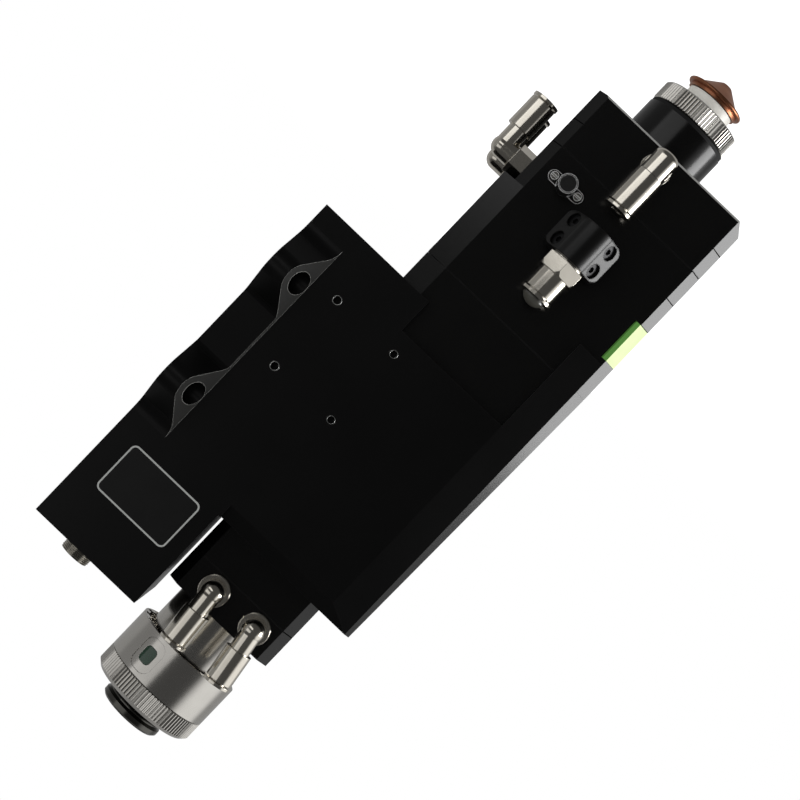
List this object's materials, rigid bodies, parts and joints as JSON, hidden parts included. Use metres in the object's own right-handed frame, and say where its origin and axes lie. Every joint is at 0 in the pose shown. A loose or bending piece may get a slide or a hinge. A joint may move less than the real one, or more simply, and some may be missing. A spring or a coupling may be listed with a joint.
{
  "type": "laser cutting head",
  "caption": "Autofocus laser cutting head: black column with fibre socket, side drive box, window drawers, gas and water fittings, ceramic and copper nozzle.",
  "frame": {"origin": "centre of the four mounting holes, on the front plate's face", "axes": "+Z along the beam from the nozzle to the fibre socket, -Y out of the mounting face, +X from the column towards the drive box"},
  "size_m": [0.128, 0.102, 0.3638],
  "materials": {
    "anodised_black": "matte black anodised aluminium",
    "housing_black": "matte black coated aluminium",
    "nickel": "nickel-plated brass, lightly warm",
    "satin_steel": "satin stainless steel",
    "steel": "bright steel screws and rods",
    "bare_aluminium": "bare machined aluminium",
    "copper": "turned copper",
    "white_ceramic": "fired white ceramic",
    "optics": "polished and coated silica",
    "green_glass": "dark green sight glass",
    "light": "lit pale green lens",
    "seal_rubber": "black seal",
    "orange_seal": "orange silicone seal",
    "plug_plastic": "grey plastic plug",
    "motor_black": "black motor casing",
    "dark_steel": "blackened steel screws"
  },
  "bodies": {
    "head": {"nozzle_module": "anodised_black", "sensor_body": "anodised_black", "window_module": "anodised_black", "gas_block": "anodised_black", "focus_module": "anodised_black", "side_cover": "anodised_black", "collimator_block": "anodised_black", "connector_block": "anodised_black", "front_housing": "housing_black", "gas_fitting": "nickel", "cooling_stem": "nickel", "front_side_stem": "nickel", "rear_side_stem": "nickel", "right_water_stem": "nickel", "left_water_stem": "nickel", "drive_socket": "nickel", "sensor_socket": "nickel", "connector_neck": "satin_steel", "connector_collar": "satin_steel", "connector_nose": "satin_steel", "sensor_socket_screws": "steel", "side_cover_screws": "steel", "guide_rods": "steel", "motor_bracket": "bare_aluminium", "collimator_lens_ring": "bare_aluminium", "ceramic_body": "white_ceramic", "collimator_lens": "optics", "collar_window": "green_glass", "status_light": "light", "sensor_seal": "seal_rubber", "lower_drawer_seal": "orange_seal", "upper_drawer_seal": "orange_seal", "drive_motor": "motor_black", "gas_block_screws": "dark_steel"},
    "lower_drawer": {"lower_drawer": "anodised_black", "lower_window": "optics", "lower_window_ring": "bare_aluminium"},
    "upper_drawer": {"upper_drawer": "anodised_black", "upper_window": "optics", "upper_window_ring": "bare_aluminium"},
    "lens_carriage": {"lens_carriage": "bare_aluminium", "focus_lens": "optics", "focus_lens_ring": "bare_aluminium"},
    "lead_screw": {"lead_screw": "steel"},
    "cooling_elbow": {"cooling_elbow": "nickel"},
    "cooling_collet": {"cooling_collet": "nickel"},
    "front_side_elbow": {"front_side_elbow": "nickel"},
    "front_side_collet": {"front_side_collet": "nickel"},
    "rear_side_elbow": {"rear_side_elbow": "nickel"},
    "rear_side_collet": {"rear_side_collet": "nickel"},
    "right_water_elbow": {"right_water_elbow": "nickel"},
    "right_water_collet": {"right_water_collet": "nickel"},
    "left_water_elbow": {"left_water_elbow": "nickel"},
    "left_water_collet": {"left_water_collet": "nickel"},
    "gas_collet": {"gas_collet": "nickel"},
    "gas_plug": {"gas_plug": "plug_plastic"},
    "nozzle_lock_ring": {"nozzle_lock_ring": "satin_steel"},
    "nozzle": {"nozzle": "copper"},
    "fibre_lock_ring": {"fibre_lock_ring": "satin_steel"}
  },
  "joints": [
    {"name": "lower_drawer_slide", "type": "slide", "parent": "head", "child": "lower_drawer", "axis": [-1, 0, 0], "range_m": [0, 0.065]},
    {"name": "upper_drawer_slide", "type": "slide", "parent": "head", "child": "upper_drawer", "axis": [-1, 0, 0], "range_m": [0, 0.065]},
    {"name": "focus_slide", "type": "slide", "parent": "head", "child": "lens_carriage", "axis": [0, 0, 1], "range_m": [-0.01, 0.01]},
    {"name": "lead_screw_turn", "type": "hinge", "parent": "head", "child": "lead_screw", "pos_m": [0.0238, 0.0345, 0], "axis": [0, 0, 1], "range_deg": [-722, 722]},
    {"name": "cooling_swivel", "type": "hinge", "parent": "head", "child": "cooling_elbow", "pos_m": [-0.04, -0.0047, -0.143], "axis": [0, -1, 0], "continuous": true},
    {"name": "cooling_release", "type": "slide", "parent": "cooling_elbow", "child": "cooling_collet", "axis": [0, 0, -1], "range_m": [0, 0.0006], "stiffness_N_per_m": 300},
    {"name": "front_side_swivel", "type": "hinge", "parent": "head", "child": "front_side_elbow", "pos_m": [0.0109, 0.0165, -0.1095], "axis": [-1, 0, 0], "range_deg": [-25, 180]},
    {"name": "front_side_release", "type": "slide", "parent": "front_side_elbow", "child": "front_side_collet", "axis": [0, 0, 1], "range_m": [0, 0.0006], "stiffness_N_per_m": 300},
    {"name": "rear_side_swivel", "type": "hinge", "parent": "head", "child": "rear_side_elbow", "pos_m": [0.0109, 0.0545, -0.1095], "axis": [1, 0, 0], "range_deg": [-25, 180]},
    {"name": "rear_side_release", "type": "slide", "parent": "rear_side_elbow", "child": "rear_side_collet", "axis": [0, 0, 1], "range_m": [0, 0.0006], "stiffness_N_per_m": 300},
    {"name": "right_water_swivel", "type": "hinge", "parent": "head", "child": "right_water_elbow", "pos_m": [-0.02875, 0.0093, 0.1014], "axis": [0, 1, 0], "range_deg": [-8, 21]},
    {"name": "right_water_release", "type": "slide", "parent": "right_water_elbow", "child": "right_water_collet", "axis": [0.0872, 0, -0.9962], "range_m": [0, 0.0006], "stiffness_N_per_m": 300},
    {"name": "left_water_swivel", "type": "hinge", "parent": "head", "child": "left_water_elbow", "pos_m": [-0.05125, 0.0093, 0.1014], "axis": [0, -1, 0], "range_deg": [-12, 17]},
    {"name": "left_water_release", "type": "slide", "parent": "left_water_elbow", "child": "left_water_collet", "axis": [0.1478, 0, -0.989], "range_m": [0, 0.0006], "stiffness_N_per_m": 300},
    {"name": "gas_release", "type": "slide", "parent": "head", "child": "gas_collet", "axis": [0, 0, -1], "range_m": [0, 0.0006], "stiffness_N_per_m": 300},
    {"name": "gas_plug_pull", "type": "slide", "parent": "head", "child": "gas_plug", "axis": [0, 0, 1], "range_m": [0, 0.02]},
    {"name": "nozzle_lock_turn", "type": "hinge", "parent": "head", "child": "nozzle_lock_ring", "pos_m": [-0.0382, 0.0445, -0.177], "axis": [0, 0, 1], "continuous": true},
    {"name": "nozzle_turn", "type": "hinge", "parent": "head", "child": "nozzle", "pos_m": [-0.0382, 0.0445, -0.188], "axis": [0, 0, 1], "continuous": true},
    {"name": "fibre_lock_turn", "type": "hinge", "parent": "head", "child": "fibre_lock_ring", "pos_m": [-0.0382, 0.0445, 0.154], "axis": [0, 0, 1], "range_deg": [0, 45]}
  ],
  "couplings": [
    {"joint": "lead_screw_turn", "follows": "focus_slide", "rad_per_m": 1256.6}
  ]
}
